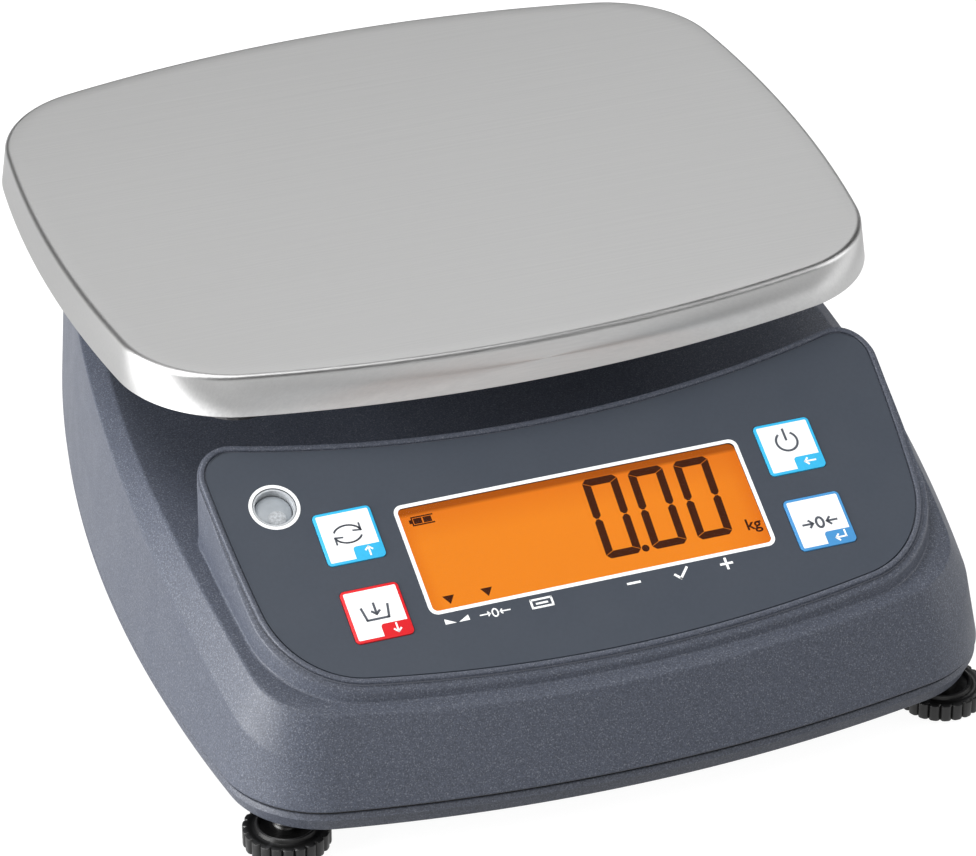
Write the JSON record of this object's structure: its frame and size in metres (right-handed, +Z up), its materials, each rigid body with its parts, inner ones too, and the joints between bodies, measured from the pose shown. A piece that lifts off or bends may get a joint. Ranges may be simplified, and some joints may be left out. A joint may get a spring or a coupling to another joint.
{
  "type": "bench scale",
  "caption": "Bench weighing scale with a lift-off steel plate, wedge housing, tilted key panel with an orange display, level vial and screw-adjusted levelling feet.",
  "frame": {"origin": "on the ground, under the middle of the whole scale", "axes": "+X to the user's right, +Y away from the user, +Z up"},
  "size_m": [0.2318, 0.2904, 0.1075],
  "materials": {
    "housing_grey": "fine grained moulding",
    "foil_grey": "fine textured film",
    "window_clear": "clear plastic",
    "display_orange": "backlit",
    "white_plastic": "moulded",
    "board_green": "solder mask",
    "key_white": "printed film",
    "black_plastic": "moulded",
    "black_rubber": "moulded",
    "vial_glass": "clear plastic with liquid",
    "cell_aluminium": "milled",
    "cast_aluminium": "as cast",
    "zinc_plated": "zinc plated",
    "brushed_steel": "brushed along X",
    "insert_brass": "turned",
    "battery_grey": "shrink film",
    "ribbon_white": "film",
    "lead_red": "wire insulation"
  },
  "bodies": {
    "housing": {"upper_housing": "housing_grey", "base_tray": "housing_grey", "keypad_foil": "foil_grey", "display_window": "window_clear", "display_glass": "display_orange", "display_backlight": "white_plastic", "display_board": "board_green", "main_board": "board_green", "switch_mode": "black_plastic", "switch_tare": "black_plastic", "switch_power": "black_plastic", "switch_zero": "black_plastic", "level_holder": "black_plastic", "buzzer": "black_plastic", "power_jack": "black_plastic", "housing_gasket": "black_rubber", "dust_seal": "black_rubber", "load_cell_cable": "black_rubber", "level_vial": "vial_glass", "load_cell": "cell_aluminium", "load_cell_spacer": "zinc_plated", "load_cell_bolt_1": "zinc_plated", "load_cell_bolt_2": "zinc_plated", "overload_stop": "zinc_plated", "housing_screw_front_left": "zinc_plated", "housing_screw_front_right": "zinc_plated", "housing_screw_rear_left": "zinc_plated", "housing_screw_rear_right": "zinc_plated", "foot_insert_front_left": "insert_brass", "foot_insert_front_right": "insert_brass", "foot_insert_rear_left": "insert_brass", "foot_insert_rear_right": "insert_brass", "battery_pack": "battery_grey", "display_ribbon": "ribbon_white", "battery_lead": "lead_red"},
    "load_carrier": {"load_post": "cast_aluminium", "carrier_spider": "cast_aluminium", "carrier_bolt_1": "zinc_plated", "carrier_bolt_2": "zinc_plated", "plate_pad_front_left": "black_rubber", "plate_pad_front_right": "black_rubber", "plate_pad_rear_left": "black_rubber", "plate_pad_rear_right": "black_rubber"},
    "plate": {"weighing_plate": "brushed_steel"},
    "battery_door": {"battery_cover": "housing_grey"},
    "key_mode_body": {"key_mode": "key_white"},
    "key_tare_body": {"key_tare": "key_white"},
    "key_power_body": {"key_power": "key_white"},
    "key_zero_body": {"key_zero": "key_white"},
    "foot_front_left": {"foot_pad_front_left": "black_rubber"},
    "wheel_front_left": {"foot_wheel_front_left": "black_plastic"},
    "foot_front_right": {"foot_pad_front_right": "black_rubber"},
    "wheel_front_right": {"foot_wheel_front_right": "black_plastic"},
    "foot_rear_left": {"foot_pad_rear_left": "black_rubber"},
    "wheel_rear_left": {"foot_wheel_rear_left": "black_plastic"},
    "foot_rear_right": {"foot_pad_rear_right": "black_rubber"},
    "wheel_rear_right": {"foot_wheel_rear_right": "black_plastic"}
  },
  "joints": [
    {"name": "load_deflection", "type": "slide", "parent": "housing", "child": "load_carrier", "axis": [0, 0, 1], "range_m": [-0.0004, 0], "stiffness_N_per_m": 60000, "deforming": ["load_cell"]},
    {"name": "plate_lift_off", "type": "slide", "parent": "load_carrier", "child": "plate", "axis": [0, 0, 1], "range_m": [0, 0.06]},
    {"name": "battery_cover_lift_off", "type": "slide", "parent": "housing", "child": "battery_door", "axis": [0, 0, -1], "range_m": [0, 0.03]},
    {"name": "mode_press", "type": "slide", "parent": "housing", "child": "key_mode_body", "axis": [0, 0.4448, -0.8956], "range_m": [0, 0.00035], "stiffness_N_per_m": 4000},
    {"name": "tare_press", "type": "slide", "parent": "housing", "child": "key_tare_body", "axis": [0, 0.4448, -0.8956], "range_m": [0, 0.00035], "stiffness_N_per_m": 4000},
    {"name": "power_press", "type": "slide", "parent": "housing", "child": "key_power_body", "axis": [0, 0.4448, -0.8956], "range_m": [0, 0.00035], "stiffness_N_per_m": 4000},
    {"name": "zero_press", "type": "slide", "parent": "housing", "child": "key_zero_body", "axis": [0, 0.4448, -0.8956], "range_m": [0, 0.00035], "stiffness_N_per_m": 4000},
    {"name": "foot_height_front_left", "type": "slide", "parent": "housing", "child": "foot_front_left", "axis": [0, 0, 1], "range_m": [-0.004, 0.0025]},
    {"name": "wheel_spin_front_left", "type": "hinge", "parent": "foot_front_left", "child": "wheel_front_left", "pos_m": [-0.0979, -0.12135, 0.004], "axis": [0, 0, 1], "range_deg": [-1152, 720]},
    {"name": "foot_height_front_right", "type": "slide", "parent": "housing", "child": "foot_front_right", "axis": [0, 0, 1], "range_m": [-0.004, 0.0025]},
    {"name": "wheel_spin_front_right", "type": "hinge", "parent": "foot_front_right", "child": "wheel_front_right", "pos_m": [0.0979, -0.12135, 0.004], "axis": [0, 0, 1], "range_deg": [-1152, 720]},
    {"name": "foot_height_rear_left", "type": "slide", "parent": "housing", "child": "foot_rear_left", "axis": [0, 0, 1], "range_m": [-0.004, 0.0025]},
    {"name": "wheel_spin_rear_left", "type": "hinge", "parent": "foot_rear_left", "child": "wheel_rear_left", "pos_m": [-0.07, 0.11925, 0.004], "axis": [0, 0, 1], "range_deg": [-1152, 720]},
    {"name": "foot_height_rear_right", "type": "slide", "parent": "housing", "child": "foot_rear_right", "axis": [0, 0, 1], "range_m": [-0.004, 0.0025]},
    {"name": "wheel_spin_rear_right", "type": "hinge", "parent": "foot_rear_right", "child": "wheel_rear_right", "pos_m": [0.07, 0.11925, 0.004], "axis": [0, 0, 1], "range_deg": [-1152, 720]}
  ],
  "couplings": [
    {"joint": "wheel_spin_front_left", "follows": "foot_height_front_left", "rad_per_m": 5026.5},
    {"joint": "wheel_spin_front_right", "follows": "foot_height_front_right", "rad_per_m": 5026.5},
    {"joint": "wheel_spin_rear_left", "follows": "foot_height_rear_left", "rad_per_m": 5026.5},
    {"joint": "wheel_spin_rear_right", "follows": "foot_height_rear_right", "rad_per_m": 5026.5}
  ]
}
